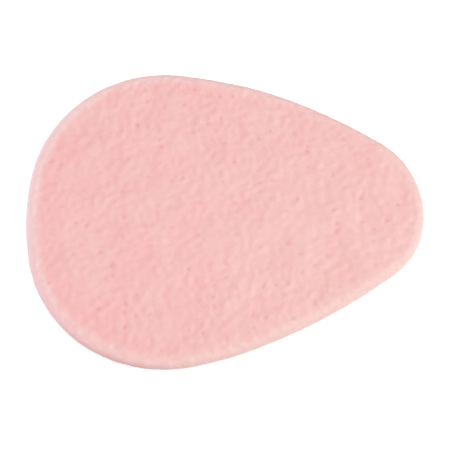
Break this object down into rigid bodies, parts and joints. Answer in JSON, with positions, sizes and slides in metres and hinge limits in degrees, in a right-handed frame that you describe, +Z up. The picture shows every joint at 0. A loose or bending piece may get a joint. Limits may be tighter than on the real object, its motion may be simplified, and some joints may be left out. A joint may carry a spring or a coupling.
{
  "type": "felt furniture pad",
  "caption": "Flat, drop-shaped pad of soft pressed felt with a rolled upper rim, lying between a furniture foot and the floor.",
  "frame": {"origin": "middle of the underside's bounding box, on the surface that the pad lies on", "axes": "+X along the line of symmetry to the narrow end, +Y across the pad, +Z up out of the top face"},
  "size_m": [0.09, 0.071, 0.003],
  "materials": {
    "felt": "soft matte pressed felt, pale pink"
  },
  "bodies": {
    "root": {"felt_pad": "felt"}
  },
  "joints": []
}
